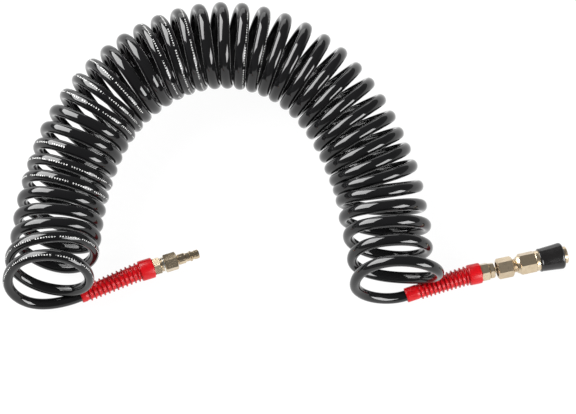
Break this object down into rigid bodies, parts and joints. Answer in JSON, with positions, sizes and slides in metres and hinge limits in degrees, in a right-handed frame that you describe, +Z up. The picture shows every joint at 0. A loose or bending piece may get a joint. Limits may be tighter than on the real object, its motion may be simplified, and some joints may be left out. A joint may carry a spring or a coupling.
{
  "type": "coiled air hose",
  "caption": "Coiled air hose in glossy black plastic, laid in an arch, with ribbed red kink sleeves, a quick-connect plug at one end and a ball-lock quick coupler at the other.",
  "frame": {"origin": "centre of the whole object's box, on the surface that it lies on", "axes": "+Z up from that surface; the arch's open side and both ends face -Y and +X, and +X is the long way of the box"},
  "size_m": [0.5227, 0.3046, 0.0834],
  "materials": {
    "hose": "glossy black polyurethane, smooth, with a thin pale dashed marking line",
    "kink_sleeve": "satin moulded red plastic",
    "fitting_metal": "brass plated with a thin yellowish nickel, machined",
    "washer": "bright turned washer",
    "seal": "black nitrile rubber",
    "spring_steel": "drawn spring wire",
    "ball_steel": "polished bearing ball",
    "cover_rubber": "satin black rubber with a little sheen"
  },
  "bodies": {
    "root": {"hose_coil": "hose", "hose_tail_plug_end": "hose", "hose_tail_coupler_end": "hose", "plug_kink_sleeve": "kink_sleeve", "plug_hose_ferrule": "fitting_metal", "plug_hose_stem": "fitting_metal", "plug_sealing_washer": "washer", "quick_plug": "fitting_metal", "coupler_kink_sleeve": "kink_sleeve", "coupler_hose_ferrule": "fitting_metal", "coupler_hose_stem": "fitting_metal"},
    "union": {"union_nut": "fitting_metal"},
    "coupler": {"union_seal": "seal", "coupler_rear_body": "fitting_metal", "body_seal": "seal", "socket_body": "fitting_metal", "socket_plug_seal": "seal", "valve_spring": "spring_steel", "sleeve_spring": "spring_steel", "sleeve_stop_ring": "spring_steel"},
    "valve": {"valve_poppet": "fitting_metal", "valve_seal": "seal"},
    "locking_sleeve_group": {"locking_sleeve": "fitting_metal", "sleeve_cover": "cover_rubber"},
    "ball_1": {"lock_ball_1": "ball_steel"},
    "ball_2": {"lock_ball_2": "ball_steel"},
    "ball_3": {"lock_ball_3": "ball_steel"},
    "ball_4": {"lock_ball_4": "ball_steel"},
    "ball_5": {"lock_ball_5": "ball_steel"},
    "ball_6": {"lock_ball_6": "ball_steel"}
  },
  "joints": [
    {"name": "coupler_swivel", "type": "hinge", "parent": "root", "child": "coupler", "pos_m": [0.20476, -0.11187, 0.0126], "axis": [0.9732, 0.23, 0], "continuous": true},
    {"name": "union_nut_spin", "type": "hinge", "parent": "root", "child": "union", "pos_m": [0.20136, -0.11268, 0.0126], "axis": [0.9732, 0.23, 0], "continuous": true},
    {"name": "sleeve_slide", "type": "slide", "parent": "coupler", "child": "locking_sleeve_group", "axis": [-0.9732, -0.23, 0], "range_m": [0, 0.0035], "stiffness_N_per_m": 1800, "springref_m": -0.003, "deforming": ["sleeve_spring"]},
    {"name": "valve_slide", "type": "slide", "parent": "coupler", "child": "valve", "axis": [-0.9732, -0.23, 0], "range_m": [0, 0.0035], "stiffness_N_per_m": 700, "springref_m": -0.003, "deforming": ["valve_spring"]},
    {"name": "lock_ball_1_slide", "type": "slide", "parent": "coupler", "child": "ball_1", "axis": [0, 0, 1], "range_m": [0, 0.001]},
    {"name": "lock_ball_2_slide", "type": "slide", "parent": "coupler", "child": "ball_2", "axis": [0.1992, -0.8428, 0.5], "range_m": [0, 0.001]},
    {"name": "lock_ball_3_slide", "type": "slide", "parent": "coupler", "child": "ball_3", "axis": [0.1992, -0.8428, -0.5], "range_m": [0, 0.001]},
    {"name": "lock_ball_4_slide", "type": "slide", "parent": "coupler", "child": "ball_4", "axis": [0, 0, -1], "range_m": [0, 0.001]},
    {"name": "lock_ball_5_slide", "type": "slide", "parent": "coupler", "child": "ball_5", "axis": [-0.1992, 0.8428, -0.5], "range_m": [0, 0.001]},
    {"name": "lock_ball_6_slide", "type": "slide", "parent": "coupler", "child": "ball_6", "axis": [-0.1992, 0.8428, 0.5], "range_m": [0, 0.001]}
  ],
  "couplings": [
    {"joint": "lock_ball_1_slide", "follows": "sleeve_slide", "ratio": 0.28},
    {"joint": "lock_ball_2_slide", "follows": "sleeve_slide", "ratio": 0.28},
    {"joint": "lock_ball_3_slide", "follows": "sleeve_slide", "ratio": 0.28},
    {"joint": "lock_ball_4_slide", "follows": "sleeve_slide", "ratio": 0.28},
    {"joint": "lock_ball_5_slide", "follows": "sleeve_slide", "ratio": 0.28},
    {"joint": "lock_ball_6_slide", "follows": "sleeve_slide", "ratio": 0.28}
  ]
}
